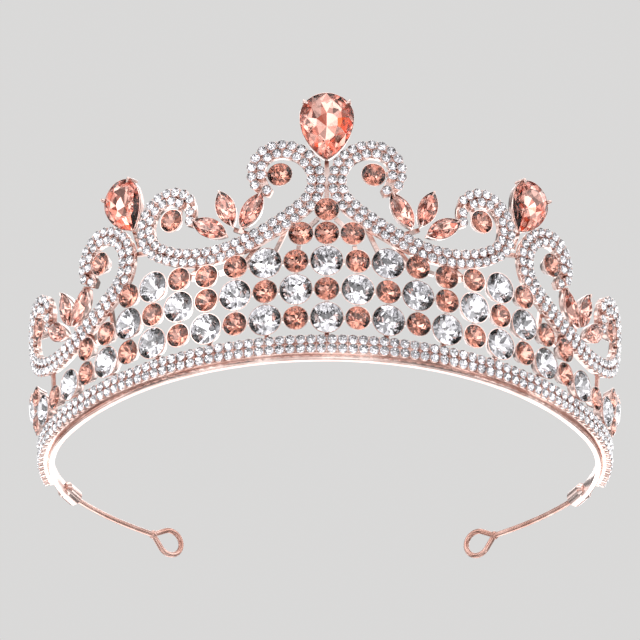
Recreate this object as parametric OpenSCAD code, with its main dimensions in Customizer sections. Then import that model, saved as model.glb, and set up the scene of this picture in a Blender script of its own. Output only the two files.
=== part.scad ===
// Bridal tiara: a leaning openwork wall of set stones on a C-shaped headband with two wire arms.
// The design is drawn flat, as u along the wall and w up it, and laid on the wall by wall_point().
// Depth d is measured outward from the plane of the stones' girdles, so the pieces lie at d below 0.

/* [Wall] */
// Radius of the front of the wall at its foot, to the stones' girdles
front_radius = 80; // [70:1:98]
// Length along the foot from the middle to the start of the tighter side curves
front_half_length = 86; // [72:1:108]
// Radius of the side curves at the foot
side_radius = 42; // [38:1:54]
// Length along the foot from the middle to each end of the headband
band_half_length = 125; // [122:1:132]
// Outward lean of the wall from upright, in degrees
wall_lean = 8; // [4:1:12]

/* [Headband] */
// Thickness of the headband strip
band_thickness = 1.6; // [1.2:0.1:2.2]
// Height of the headband strip
band_height = 4.2; // [3.6:0.1:4.6]
// Height of the tongue at each end of the strip
tongue_height = 2.2; // [1.6:0.1:2.6]
// Length of the tongue at each end of the strip
tongue_length = 3; // [2:0.5:4]

/* [Arms] */
// Diameter of the arm wire
wire_diameter = 1.5; // [1.2:0.1:1.9]
// Bend radius of each arm, seen from above
arm_radius = 112; // [90:1:130]
// Angle that each arm turns through
arm_turn = 18; // [12:1:24]
// Upward slope of the arms, in degrees
arm_rise = 6.5; // [6:0.5:10]
// Turn of the pin loop towards the middle, in degrees
loop_turn = 15; // [0:1:40]
// Radius of the pin loop at the centre of its wire
loop_radius = 3.6; // [3:0.1:3.9]
// Distance from the loop's centre to the point where its wire crosses
loop_reach = 5.6; // [5:0.1:6.4]
// Downward slant of the loop, in degrees
loop_slant = 16; // [0:1:18]
// Diameter of the solder ball where the loop's wire closes
solder_diameter = 2.4; // [2.2:0.1:3]
// Diameter of the sleeve that joins an arm to the headband
sleeve_diameter = 4.6; // [4.2:0.1:4.7]
// Length of the sleeve
sleeve_length = 7; // [6:0.5:9]
// Height of the sleeve's axis
sleeve_height = 2.45; // [2.4:0.05:3]

/* [Small stone strips] */
// Diameter of a small stone
small_stone = 2.3; // [1.8:0.1:2.8]
// Gap between neighbouring small stones
small_gap = 0.3; // [0.2:0.05:0.6]
// Gap between the two rows of small stones
row_gap = 0.1; // [0.05:0.05:0.4]
// Thickness of the rim on each side of a strip
strip_rim = 0.25; // [0.2:0.05:0.5]
// Depth of a strip from its rim to its back
strip_depth = 2.4; // [2:0.1:3]
// Thickness of a strip's floor
strip_floor = 1.3; // [0.8:0.1:1.6]
// Height of the lowest edge of the foot strip up the wall
foot_strip_low = 0.15; // [0.1:0.05:1]
// Number of stone columns in each half of the foot strip's double rows
foot_double_count = 39; // [34:1:42]
// Number of stones in each single tail of the foot strip
foot_tail_count = 6; // [3:1:7]

/* [Lattice of round stones] */
// Diameter of a clear stone's cup
clear_cup = 8.4; // [7:0.1:10.4]
// Diameter of a peach stone's cup
peach_cup = 6.4; // [5.4:0.1:7.8]
// Thickness of a cup's bezel
bezel = 0.25; // [0.25:0.05:0.5]
// Gap between neighbouring cups
cup_gap = 0.3; // [0.2:0.05:0.8]
// Height of a bezel in front of the girdles
bezel_lip = 0.3; // [0.2:0.05:0.5]
// Thickness of a cup's base
cup_base = 0.4; // [0.3:0.05:0.8]

/* [Scrolls] */
// Place of the stone in the front scroll's upper curl, along the wall
upper_eye_u = 11.9; // [11.5:0.1:12.4]
// Height of the front scroll's upper eye above the topmost lattice stone
scroll_lift = 10.2; // [9.5:0.1:14]
// Place of the side scroll's upper eye, from the front scroll's upper eye
side_scroll_shift = 52.2; // [51.8:0.1:60]
// Drop of the side scroll from the front scroll
side_scroll_drop = 11.9; // [8:0.1:12.2]
// Upward tilt of the side scroll's far end, in degrees
side_scroll_tilt = 5; // [0:1:7]

/* [Pear and navette stones] */
// Width of the centre pear's setting
centre_pear_width = 14; // [11:0.5:15]
// Length of the centre pear's setting
centre_pear_length = 19.2; // [16:0.5:23]
// Width of a side pear's setting
side_pear_width = 11.6; // [9:0.5:12.5]
// Length of a side pear's setting
side_pear_length = 16.4; // [13:0.5:19]
// Outward tilt of the side pears, in degrees
side_pear_tilt = 18; // [10:1:22]
// Width of a navette's setting
navette_width = 5.2; // [4:0.1:5.6]
// Length of a navette's setting
navette_length = 11; // [8.6:0.1:11.6]
// Depth of the pear and navette settings behind the girdles
setting_depth = 2.4; // [2.4:0.1:3]
// Diameter of a claw
claw = 1; // [0.8:0.1:1.2]

/* [Bars] */
// Width of a solder bar
bar_width = 1.1; // [0.8:0.1:1.4]
// Thickness of a solder bar
bar_thickness = 0.9; // [0.7:0.1:1.2]

/* [Fits] */
// Clearance around a stone in its seat
stone_clearance = 0.05; // [0.03:0.01:0.1]
// Clearance around a tongue or wire in its sleeve
sleeve_clearance = 0.05; // [0.03:0.01:0.1]
// Clearance between pieces that are set close together
set_gap = 0.1; // [0.05:0.05:0.3]

/* [Hidden] */
$fn = 48;

rose_gold = [0.86, 0.62, 0.55];
clear_glass = [0.86, 0.88, 0.92];
peach_glass = [0.93, 0.55, 0.40];

degree = PI / 180;
small_pitch = small_stone + small_gap;
row_offset = (small_stone + row_gap) / 2;
double_half = small_stone + row_gap / 2 + stone_clearance + strip_rim;
single_half = small_stone / 2 + stone_clearance + strip_rim;
foot_lower_row = foot_strip_low + single_half;
foot_upper_row = foot_lower_row + 2 * row_offset;
foot_top = foot_strip_low + 2 * double_half;
foot_double_end = foot_double_count * small_pitch;
foot_tail_end = foot_double_end + foot_tail_count * small_pitch;
foot_taper = 2 * small_pitch;

// ---- The leaning wall ----
front_angle = front_half_length / front_radius / degree;
band_outer = -strip_depth;
band_inner = -strip_depth - band_thickness;
foot_radius = front_radius + (band_outer + band_inner) / 2 / cos(wall_lean);
side_hub = [(front_radius - side_radius) * sin(front_angle),
            foot_radius - (front_radius - side_radius) * cos(front_angle)];

function wall_angle(u, w) =
    let (front = front_radius + w * sin(wall_lean), side = side_radius + w * sin(wall_lean),
         bend = front_angle * degree * front)
    sign(u) * (abs(u) <= bend ? abs(u) / front / degree : front_angle + (abs(u) - bend) / side / degree);
function wall_hub(angle) =
    abs(angle) <= front_angle ? [0, foot_radius] : [sign(angle) * side_hub[0], side_hub[1]];
function wall_spot(angle, w, d) =
    let (hub = wall_hub(angle), base = abs(angle) <= front_angle ? front_radius : side_radius,
         radius = base + w * sin(wall_lean) + d * cos(wall_lean))
    [hub[0] + radius * sin(angle), hub[1] - radius * cos(angle), w * cos(wall_lean) - d * sin(wall_lean)];
function wall_point(u, w, d) = wall_spot(wall_angle(u, w), w, d);
// The distance up the wall of a point at depth d and true height z
function up_wall(d, z) = (z + d * sin(wall_lean)) / cos(wall_lean);
function turned(angle, point) =
    [point[0] * cos(angle) - point[1] * sin(angle), point[0] * sin(angle) + point[1] * cos(angle)];

// Puts a piece drawn with X along the wall, Y up it and Z outward at a place on the wall
module at_wall(place, spin = 0) {
    translate(wall_point(place[0], place[1], 0))
        rotate([0, 0, wall_angle(place[0], place[1])])
            rotate([90 + wall_lean, 0, 0])
                rotate([0, 0, spin])
                    children();
}

module left_side() {
    mirror([1, 0, 0])
        children();
}

// A closed band swept through rings of points, each ring in the same order, with flat ends
module swept(rings, end_faces) {
    size = len(rings[0]);
    last = size * (len(rings) - 1);
    sides = [for (i = [0:len(rings) - 2], j = [0:size - 1])
        let (a = size * i + j, b = size * i + (j + 1) % size)
        each [[a, b, b + size], [a, b + size, a + size]]];
    polyhedron([for (ring = rings) each ring],
               concat(sides, end_faces, [for (face = end_faces) [for (k = [0, 2, 1]) face[k] + last]]));
}

// Corners [across, depth] of an open channel of half width half, and the triangles that close its end
function channel(half) = [
    [-half, -strip_depth], [half, -strip_depth], [half, 0], [half - strip_rim, 0],
    [half - strip_rim, strip_floor - strip_depth], [strip_rim - half, strip_floor - strip_depth],
    [strip_rim - half, 0], [-half, 0]];
channel_end = [[0, 4, 1], [0, 5, 4], [1, 3, 2], [1, 4, 3], [0, 6, 5], [0, 7, 6]];

// ---- Headband, sleeves and arms ----
band_end_angle = wall_angle(band_half_length, 0);
shoulder_angle = band_end_angle - tongue_length / side_radius / degree;
shoulder_slope = 0.4;
tongue_low = sleeve_height - tongue_height / 2;
tongue_high = sleeve_height + tongue_height / 2;
band_middle = (band_outer + band_inner) / 2;
sleeve_reach = side_radius + band_middle * cos(wall_lean)
               + up_wall(band_middle, sleeve_height) * sin(wall_lean);

module headband() {
    steps = 96;
    shoulder = shoulder_angle + shoulder_slope;
    stations = concat([-band_end_angle, -shoulder],
                      [for (i = [0:steps]) shoulder_angle * (2 * i / steps - 1)],
                      [shoulder, band_end_angle]);
    rings = [for (angle = stations)
        let (tongue = abs(angle) > shoulder_angle + shoulder_slope / 2,
             low = tongue ? tongue_low : 0, high = tongue ? tongue_high : band_height)
        [for (corner = [[band_inner, low], [band_inner, high], [band_outer, high], [band_outer, low]])
            wall_spot(angle, up_wall(corner[0], corner[1]), corner[0])]];
    color(rose_gold)
        swept(rings, [[0, 2, 1], [0, 3, 2]]);
}

// The hole that a tongue fits in
module tongue_slot() {
    slack = sleeve_clearance / side_radius / degree;
    start = shoulder_angle - slack;
    section = [for (corner = [[band_inner - sleeve_clearance, tongue_low - sleeve_clearance],
                              [band_outer + sleeve_clearance, tongue_low - sleeve_clearance],
                              [band_outer + sleeve_clearance, tongue_high + sleeve_clearance],
                              [band_inner - sleeve_clearance, tongue_high + sleeve_clearance]])
        let (w = up_wall(corner[0], corner[1]))
        [side_radius + w * sin(wall_lean) + corner[0] * cos(wall_lean),
         w * cos(wall_lean) - corner[0] * sin(wall_lean)]];
    translate([side_hub[0], side_hub[1], 0])
        rotate([0, 0, start - 90])
            rotate_extrude(angle = band_end_angle + slack - start, $fn = 96)
                polygon(section);
}

// Puts a piece at the right sleeve, with X along the headband's end and Z up
module at_sleeve() {
    translate([side_hub[0] + sleeve_reach * sin(band_end_angle),
               side_hub[1] - sleeve_reach * cos(band_end_angle), sleeve_height])
        rotate([0, 0, band_end_angle])
            children();
}

module sleeve() {
    half = sleeve_length / 2;
    rounding = sleeve_diameter / 5;
    middle = sleeve_length / 2 - tongue_length;
    difference() {
        at_sleeve()
            translate([middle, 0, 0])
                rotate([0, 90, 0])
                    rotate_extrude()
                        polygon([[0, -half], [sleeve_diameter / 2 - rounding, -half],
                                 [sleeve_diameter / 2, -half + rounding],
                                 [sleeve_diameter / 2, half - rounding],
                                 [sleeve_diameter / 2 - rounding, half], [0, half]]);
        tongue_slot();
        at_sleeve()
            translate([set_gap + sleeve_clearance, 0, 0])
                rotate([0, 90, 0])
                    cylinder(d = wire_diameter + 2 * sleeve_clearance, h = sleeve_length);
    }
}

module arm() {
    reach = sqrt(loop_reach * loop_reach - loop_radius * loop_radius);
    spread = asin(loop_radius / loop_reach);
    start = set_gap + 2 * sleeve_clearance;
    straight = sleeve_length - tongue_length;
    at_sleeve() {
        translate([start, 0, 0])
            rotate([0, 90, 0])
                cylinder(d = wire_diameter, h = straight - start);
        translate([straight, 0, 0]) {
            sphere(d = wire_diameter);
            rotate([0, -arm_rise, 0]) {
                translate([0, arm_radius, 0])
                    rotate([0, 0, -90])
                        rotate_extrude(angle = arm_turn, $fn = 96)
                            translate([arm_radius, 0])
                                circle(d = wire_diameter);
                translate([arm_radius * sin(arm_turn), arm_radius * (1 - cos(arm_turn)), 0])
                    rotate([0, 0, arm_turn + loop_turn])
                        rotate([90, 0, 0])
                            rotate([0, 0, -loop_slant]) {
                                sphere(d = solder_diameter);
                                for (side = [-1, 1])
                                    rotate([0, 0, side * spread]) {
                                        rotate([0, 90, 0])
                                            cylinder(d = wire_diameter, h = reach);
                                        translate([reach, 0, 0])
                                            sphere(d = wire_diameter);
                                    }
                                translate([loop_reach, 0, 0])
                                    rotate([0, 0, -90 - spread])
                                        rotate_extrude(angle = 180 + 2 * spread, $fn = 96)
                                            translate([loop_radius, 0])
                                                circle(d = wire_diameter);
                            }
            }
        }
    }
}

// ---- Stones ----
// A round brilliant: pavilion, girdle and crown, with its girdle at d = 0
module round_stone(diameter, depth) {
    radius = diameter / 2;
    girdle = 0.04 * diameter;
    crown = 0.15 * diameter;
    rotate_extrude()
        polygon([[0, -depth], [0.16 * radius, -depth], [radius, -girdle], [radius, 0],
                 [0.58 * radius, crown], [0, crown]]);
}

module small_stone_at(place) {
    at_wall(place)
        round_stone(small_stone, strip_depth - strip_floor - stone_clearance);
}

// ---- Foot strip ----
// The strip narrows from two rows to one beyond the last double column
function foot_half(u) =
    let (narrowing = (abs(u) - foot_double_end) / foot_taper)
    double_half + (single_half - double_half) * min(max(narrowing, 0), 1);

module foot_strip() {
    steps = 112;
    color(rose_gold)
        swept([for (i = [0:steps])
                  let (u = foot_tail_end * (2 * i / steps - 1), half = foot_half(u))
                  [for (corner = channel(half))
                      wall_point(u, foot_strip_low + half + corner[0], corner[1])]],
              channel_end);
}

module foot_stones_upper() {
    color(clear_glass)
        for (i = [0:foot_double_count - 1], side = [-1, 1])
            small_stone_at([side * (i + 0.5) * small_pitch, foot_upper_row]);
}

module foot_stones_lower() {
    color(clear_glass)
        for (i = [0:foot_double_count + foot_tail_count - 1], side = [-1, 1])
            small_stone_at([side * (i + 0.5) * small_pitch, foot_lower_row]);
}

// ---- Lattice ----
column_pitch = (clear_cup + peach_cup) / 2 + cup_gap;
function row_height(row) = foot_top + set_gap + clear_cup / 2 + row * column_pitch;
// Height at which a cup rests on a cup of another diameter in the row below it
function rest_height(row, cup, under) = row_height(row - 1) + (cup + under) / 2 + set_gap;
crest_pitch = peach_cup + set_gap;
crest_low = row_height(2) + column_pitch - cup_gap / 2;
crest_heights = [crest_low, crest_low + crest_pitch];

// The place at distances da and db from the places a and b, on the side to the left of the way from a to b
function nestled(a, da, b, db) =
    let (gap = b - a, c = norm(gap), along = (da * da - db * db + c * c) / (2 * c),
         rise = sqrt(da * da - along * along))
    a + [gap[0] * along - gap[1] * rise, gap[1] * along + gap[0] * rise] / c;
function both_sides(places) = [for (place = places, side = [-1, 1]) [side * place[0], place[1]]];

lower_clear = [for (k = [-12:2:12]) [k * column_pitch, row_height(0)]];
lower_peach = [for (k = [-13:2:13]) [k * column_pitch, row_height(0)]];
// A place moved along the leaning wall, so that it stands straight above the lower row
function upright(place) =
    place + [(place[1] - row_height(0)) * wall_angle(place[0], row_height(0)) * degree * sin(wall_lean), 0];
// Three stones stand above each end of the lower row, each resting against the two before it
nest_peach = nestled([12 * column_pitch, row_height(0)], column_pitch,
                     [13 * column_pitch, row_height(0)], peach_cup + cup_gap);
nest_clear = nestled(nest_peach, column_pitch, [13 * column_pitch, row_height(0)], column_pitch);
rear_peach = upright(nest_peach);
rear_clear = upright(nest_clear);
rear_top = upright(nest_clear + turned(45, [column_pitch, 0]));
middle_end = [9 * column_pitch, rest_height(1, peach_cup, peach_cup)];
upper_inner = [4 * column_pitch, rest_height(2, peach_cup, peach_cup)];
upper_middle = [5 * column_pitch, rest_height(2, peach_cup, clear_cup)];
upper_outer = [6 * column_pitch, rest_height(2, clear_cup, peach_cup)];
upper_end = [7 * column_pitch, rest_height(2, peach_cup, clear_cup)];
middle_clear = concat([for (k = [-7:2:7]) [k * column_pitch, row_height(1)]], both_sides([rear_clear]));
middle_peach = concat([for (k = [-8:2:8]) [k * column_pitch, row_height(1)]],
                      both_sides([middle_end, rear_peach, rear_top]));
upper_clear = concat([for (k = [-1:1]) [2 * k * column_pitch, row_height(2)]],
                     both_sides([upper_outer]));
upper_peach = concat([for (k = [-3:2:3]) [k * column_pitch, row_height(2)]],
                     both_sides([upper_inner, upper_middle, upper_end]));
crest_peach = concat([for (k = [-1:1]) [k * crest_pitch, crest_heights[0]]], [[0, crest_heights[1]]]);

function stone_size(cup) = cup - 2 * bezel - 2 * stone_clearance;
function stone_depth(cup) = 0.36 * stone_size(cup);
function cup_depth(cup) = stone_depth(cup) + stone_clearance + cup_base;

// The outside of a cup as a solid, which bars are cut to
module cup_body(diameter) {
    depth = cup_depth(diameter);
    rotate_extrude()
        polygon([[0, -depth], [0.3 * diameter, -depth], [diameter / 2, -depth / 3],
                 [diameter / 2, bezel_lip], [0, bezel_lip]]);
}

module cup(diameter) {
    seat = stone_size(diameter) / 2 + stone_clearance;
    floor = -stone_depth(diameter) - stone_clearance;
    difference() {
        cup_body(diameter);
        rotate_extrude()
            polygon([[0, floor], [0.2 * seat, floor], [seat, -0.06 * diameter], [seat, 2 * bezel_lip],
                     [0, 2 * bezel_lip]]);
    }
}

module cups_at(places, diameter) {
    color(rose_gold)
        for (place = places)
            at_wall(place)
                cup(diameter);
}

module stones_at(places, diameter, tint) {
    color(tint)
        for (place = places)
            at_wall(place)
                round_stone(stone_size(diameter), stone_depth(diameter));
}

module lower_cups() {
    cups_at(lower_clear, clear_cup);
    cups_at(lower_peach, peach_cup);
}

module middle_cups() {
    cups_at(middle_clear, clear_cup);
    cups_at(middle_peach, peach_cup);
}

module upper_cups() {
    cups_at(upper_clear, clear_cup);
    cups_at(upper_peach, peach_cup);
}

// ---- Scrolls ----
// A scroll is a strip bent into a chain of arcs, each [radius, turn], from its upper to its lower curl
scroll_arcs = [[7, 57], [5.7, 94], [9.5, 91], [8.7, 53], [51, 22], [25, 56], [8.4, 75], [6.6, 184]];
// Start of the chain and places of the lower eye and fan, from the upper eye
scroll_start = [2.1, -4.6];
scroll_heading = 24;
lower_eye = [29.1, -7.7];
fan_root = [12.3, -14.2];
// Length of strip at each end that holds a single row of stones
upper_tail = 4;
lower_tail = 9.2;
front_eye = [upper_eye_u, crest_heights[1] + scroll_lift];
side_eye = front_eye + [side_scroll_shift, -side_scroll_drop];

// Point and heading after a length s along the chain, shifted sideways by offset towards the eyes
function arc_pose(point, heading, radius, turn) =
    [point[0] - radius * sin(heading) + radius * sin(heading + turn),
     point[1] + radius * cos(heading) - radius * cos(heading + turn), heading + turn];
function walk(s, offset, i, point, heading) =
    let (radius = scroll_arcs[i][0] - offset, turn = scroll_arcs[i][1], run = radius * turn * degree)
    s <= run || i == len(scroll_arcs) - 1
        ? arc_pose(point, heading, radius, s / radius / degree)
        : let (end = arc_pose(point, heading, radius, turn)) walk(s - run, offset, i + 1, end, end[2]);
function scroll_pose(s, offset) =
    walk(s, offset, 0, scroll_start + turned(scroll_heading, [0, offset]), scroll_heading);
function scroll_run(offset, i = 0) =
    i == len(scroll_arcs) ? 0
        : (scroll_arcs[i][0] - offset) * scroll_arcs[i][1] * degree + scroll_run(offset, i + 1);
function placed(eye, tilt, point) = eye + turned(tilt, [point[0], point[1]]);
scroll_length = scroll_run(0);

function strip_half(s) =
    let (grow = min(s / upper_tail, (scroll_length - s) / lower_tail, 1))
    single_half + (double_half - single_half) * max(0, grow);

module scroll_tray(eye, tilt) {
    steps = 96;
    swept([for (i = [0:steps])
              let (s = scroll_length * i / steps, pose = scroll_pose(s, 0))
              [for (corner = channel(strip_half(s)))
                  let (flat = placed(eye, tilt, [pose[0], pose[1]] + turned(pose[2], [0, corner[0]])))
                  wall_point(flat[0], flat[1], corner[1])]],
          channel_end);
}

// One row of stones along a scroll: side is +1 for the row nearer the eyes, -1 for the outer row
module scroll_row(eye, tilt, side) {
    offset = side * row_offset;
    first = upper_tail + small_pitch / 2;
    last = scroll_run(offset) - lower_tail * (side > 0 ? 0.78 : 0.9);
    count = floor((last - first) / small_pitch);
    color(clear_glass)
        for (i = [0:count])
            let (pose = scroll_pose(first + (last - first) * i / count, offset))
            small_stone_at(placed(eye, tilt, pose));
}

// The single stones at both tails
module scroll_tails(eye, tilt) {
    color(clear_glass) {
        small_stone_at(placed(eye, tilt, scroll_pose(single_half, 0)));
        for (i = [0:1])
            let (s = scroll_length - single_half - i * small_pitch)
            small_stone_at(placed(eye, tilt, scroll_pose(s, 0)));
    }
}

module outer_stones(eye, tilt) {
    scroll_row(eye, tilt, -1);
    scroll_tails(eye, tilt);
}

function eyes() = [front_eye, placed(front_eye, 0, lower_eye),
                   side_eye, placed(side_eye, side_scroll_tilt, lower_eye)];

module eye_cups() {
    cups_at(eyes(), peach_cup);
}

module eye_stones() {
    stones_at(eyes(), peach_cup, peach_glass);
}

// ---- Pears and navettes ----
// A pear outline with its round end up, its widest point at the origin
module pear_outline(width, length) {
    radius = width / 2;
    flank = ((length - radius) * (length - radius) + radius * radius) / width;
    circle(r = radius, $fn = 64);
    intersection() {
        translate([flank - radius, 0])
            circle(r = flank, $fn = 128);
        translate([radius - flank, 0])
            circle(r = flank, $fn = 128);
        translate([-width, -length])
            square([2 * width, length]);
    }
}

// A pointed oval along X
module navette_outline(width, length) {
    radius = (length * length + width * width) / width / 4;
    intersection() {
        translate([0, radius - width / 2])
            circle(r = radius, $fn = 96);
        translate([0, width / 2 - radius])
            circle(r = radius, $fn = 96);
    }
}

// The point of a pear's outline at angle a from its round end
function pear_point(width, length, a) =
    let (radius = width / 2, flank = ((length - radius) * (length - radius) + radius * radius) / width,
         low = asin(sin(a - 90) * (length - radius) / flank))
    a <= 90 ? [radius * sin(a), radius * cos(a)]
            : [flank * cos(low) - flank + radius, -flank * sin(low)];
function pear_loop(width, length, height) = concat(
    [for (a = [0:22.5:180]) let (p = pear_point(width, length, a)) [p[0], p[1], height]],
    [for (a = [157.5:-22.5:22.5]) let (p = pear_point(width, length, a)) [-p[0], p[1], height]]);
function navette_loop(width, length, height) =
    let (radius = (length * length + width * width) / width / 4, sweep = asin(length / 2 / radius))
    [for (side = [-1, 1], i = [0:5])
        let (a = sweep * (2 * i / 6 - 1))
        [-side * radius * sin(a), side * (radius * cos(a) - radius + width / 2), height]];

// A cut stone from loops of points, closed by a flat table and a flat foot
module cut_stone(loops) {
    size = len(loops[0]);
    levels = len(loops);
    sides = [for (i = [0:levels - 2], j = [0:size - 1])
        let (a = i * size + j, b = i * size + (j + 1) % size)
        each [[a, b + size, b], [a, a + size, b + size]]];
    foot = [for (j = [0:size - 1]) j];
    table = [for (j = [size - 1:-1:0]) (levels - 1) * size + j];
    polyhedron([for (loop = loops) each loop], concat([foot], [table], sides));
}

stone_foot = -setting_depth + cup_base + stone_clearance;
fancy_girdle = 0.3;
fancy_crown = 1.3;
small_crown = 0.9;
setting_lip = 0.2;

module pear_setting(width, length) {
    inner = bezel + stone_clearance / 2;
    color(rose_gold) {
        difference() {
            translate([0, 0, -setting_depth])
                linear_extrude(setting_depth + setting_lip)
                    pear_outline(width, length);
            translate([0, 0, -setting_depth + cup_base])
                linear_extrude(setting_depth + setting_lip)
                    pear_outline(width - 2 * inner, length - 3 * inner);
        }
        for (side = [-1, 1])
            rotate([0, 0, side * 35])
                translate([side * (width / 2 + claw / 2 - bezel), 0, -setting_depth]) {
                    cylinder(d = claw, h = setting_depth + fancy_crown / 2, $fn = 24);
                    translate([0, 0, setting_depth + fancy_crown / 2])
                        sphere(d = claw, $fn = 24);
                }
    }
}

module pear_stone(width, length) {
    inner = bezel + stone_clearance;
    w0 = width - 2 * inner - stone_clearance;
    l0 = length - 3 * inner - stone_clearance;
    color(peach_glass)
        cut_stone([pear_loop(w0 * 0.4, l0 * 0.4, stone_foot), pear_loop(w0, l0, -fancy_girdle),
                   pear_loop(w0, l0, 0), pear_loop(w0 * 0.62, l0 * 0.62, fancy_crown)]);
}

// Middle of the pear and turn of its axis
centre_pear_place = [0, front_eye[1] + 3.6 + centre_pear_length - centre_pear_width / 2];
side_pear_tip = placed(front_eye, 0, lower_eye) + [12.6, 0.8];
side_pear_place = side_pear_tip + turned(-side_pear_tilt, [0, side_pear_length - side_pear_width / 2]);

// The fan of three navettes: place of each middle from the fan's root, and turn of its axis
fan = [[turned(122, [navette_length / 2, 0]) + [-2.1, 0.4], 122],
       [turned(73, [navette_length / 2, 0]) + [0.1, 1.3], 73],
       [turned(33, [navette_length / 2, 0]) + [1.4, -1], 33]];

module navette_setting() {
    inner = bezel + stone_clearance / 2;
    difference() {
        translate([0, 0, -setting_depth])
            linear_extrude(setting_depth + setting_lip)
                navette_outline(navette_width, navette_length);
        translate([0, 0, -setting_depth + cup_base])
            linear_extrude(setting_depth + setting_lip)
                navette_outline(navette_width - 2 * inner, navette_length - 5 * inner);
    }
}

module navette_stone() {
    inner = bezel + stone_clearance;
    w0 = navette_width - 2 * inner - stone_clearance;
    l0 = navette_length - 5 * inner - stone_clearance;
    cut_stone([navette_loop(w0 * 0.4, l0 * 0.4, stone_foot), navette_loop(w0, l0, -fancy_girdle),
               navette_loop(w0, l0, 0), navette_loop(w0 * 0.6, l0 * 0.6, small_crown)]);
}

module fan_at(eye, tilt) {
    for (petal = fan)
        at_wall(placed(eye, tilt, fan_root + petal[0]), petal[1] + tilt)
            children();
}

// ---- Bars ----
// A flat bar between two places on the wall, with its front face at depth top
module bar(from, to, top) {
    gap = to - from;
    reach = norm(gap);
    at_wall((from + to) / 2, atan2(gap[1], gap[0]))
        translate([-reach / 2, -bar_width / 2, top - bar_thickness])
            cube([reach, bar_width, bar_thickness]);
}

module cup_body_at(place, diameter) {
    at_wall(place)
        cup_body(diameter);
}

// Every lattice stone as [place, cup diameter]
lattice = concat([for (p = concat(lower_clear, middle_clear, upper_clear)) [p, clear_cup]],
                 [for (p = concat(lower_peach, middle_peach, upper_peach, crest_peach)) [p, peach_cup]]);
// Front faces of the bars between cups and of those behind the strips
link_top = -0.5;
back_top = -strip_depth - 0.02;

// Bars join each pair of neighbouring cups and end on the cups' round walls
module lattice_bars() {
    color(rose_gold)
        for (i = [0:len(lattice) - 2], j = [i + 1:len(lattice) - 1]) {
            spacing = norm(lattice[i][0] - lattice[j][0]);
            if (spacing < 1.2 * column_pitch)
                difference() {
                    bar(lattice[i][0], lattice[j][0], link_top);
                    for (stone = [lattice[i], lattice[j]])
                        at_wall(stone[0])
                            cylinder(d = stone[1], h = 8 * bar_thickness, center = true, $fn = 144);
                }
        }
}

// Short uprights from the back of the foot strip to the lowest clear cups
module foot_bars() {
    low = (band_height + set_gap) / cos(wall_lean);
    color(rose_gold)
        for (place = lower_clear)
            difference() {
                bar([place[0], low], place, back_top);
                cup_body_at(place, clear_cup);
            }
}

// A bar from a cup to a place behind a scroll, cut to the cup
module stem(place, diameter, to) {
    difference() {
        bar(place, to, back_top);
        cup_body_at(place, diameter);
    }
}

function front_at(s) = placed(front_eye, 0, scroll_pose(s, 0));
function side_at(s) = placed(side_eye, side_scroll_tilt, scroll_pose(s, 0));

module scroll_bars() {
    color(rose_gold) {
        stem(front_eye, peach_cup, front_at(9));
        stem(placed(front_eye, 0, lower_eye), peach_cup, front_at(scroll_length - 10));
        stem(side_eye, peach_cup, side_at(9));
        stem(placed(side_eye, side_scroll_tilt, lower_eye), peach_cup, side_at(scroll_length - 10));
        stem([2 * column_pitch, row_height(2)], clear_cup, front_at(44));
        stem([3 * column_pitch, row_height(2)], peach_cup, front_at(52));
        stem(upper_middle, peach_cup, front_at(68));
        stem(upper_end, peach_cup, side_at(37));
        stem([8 * column_pitch, row_height(1)], peach_cup, side_at(44));
        stem(middle_end, peach_cup, side_at(52));
        stem([12 * column_pitch, row_height(0)], clear_cup, side_at(74));
        bar(front_at(85), side_at(29), back_top);
        bar(placed(front_eye, 0, fan_root + [0, 1.5]), front_at(53), back_top);
        bar(placed(side_eye, side_scroll_tilt, fan_root + [0, 1.5]), side_at(53), back_top);
        bar(side_pear_place, side_pear_tip - [0.4, 4], -setting_depth - 0.02);
    }
}

// The upright that carries the centre pear and joins the two front scrolls
module centre_spine() {
    color(rose_gold) {
        difference() {
            bar(crest_peach[3], centre_pear_place, -setting_depth - 0.02);
            cup_body_at(crest_peach[3], peach_cup);
        }
    }
}

headband();
color(rose_gold) left_side() arm();  // arm_left
color(rose_gold) arm();  // arm_right
color(rose_gold) left_side() sleeve();  // sleeve_left
color(rose_gold) sleeve();  // sleeve_right
foot_strip();
foot_stones_upper();
foot_stones_lower();
color(rose_gold) left_side() scroll_tray(front_eye, 0);  // front_scroll_left
color(rose_gold) scroll_tray(front_eye, 0);  // front_scroll_right
left_side() outer_stones(front_eye, 0);  // front_scroll_outer_stones_left
outer_stones(front_eye, 0);  // front_scroll_outer_stones_right
left_side() scroll_row(front_eye, 0, 1);  // front_scroll_inner_stones_left
scroll_row(front_eye, 0, 1);  // front_scroll_inner_stones_right
color(rose_gold) left_side() scroll_tray(side_eye, side_scroll_tilt);  // side_scroll_left
color(rose_gold) scroll_tray(side_eye, side_scroll_tilt);  // side_scroll_right
left_side() outer_stones(side_eye, side_scroll_tilt);  // side_scroll_outer_stones_left
outer_stones(side_eye, side_scroll_tilt);  // side_scroll_outer_stones_right
left_side() scroll_row(side_eye, side_scroll_tilt, 1);  // side_scroll_inner_stones_left
scroll_row(side_eye, side_scroll_tilt, 1);  // side_scroll_inner_stones_right
lower_cups();
middle_cups();
upper_cups();
cups_at(crest_peach, peach_cup);  // crest_cups
stones_at(lower_clear, clear_cup, clear_glass);  // lower_clear_stones
stones_at(middle_clear, clear_cup, clear_glass);  // middle_clear_stones
stones_at(upper_clear, clear_cup, clear_glass);  // upper_clear_stones
stones_at(lower_peach, peach_cup, peach_glass);  // lower_peach_stones
stones_at(middle_peach, peach_cup, peach_glass);  // middle_peach_stones
stones_at(upper_peach, peach_cup, peach_glass);  // upper_peach_stones
stones_at(crest_peach, peach_cup, peach_glass);  // crest_peach_stones
left_side() eye_cups();  // eye_cups_left
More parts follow.
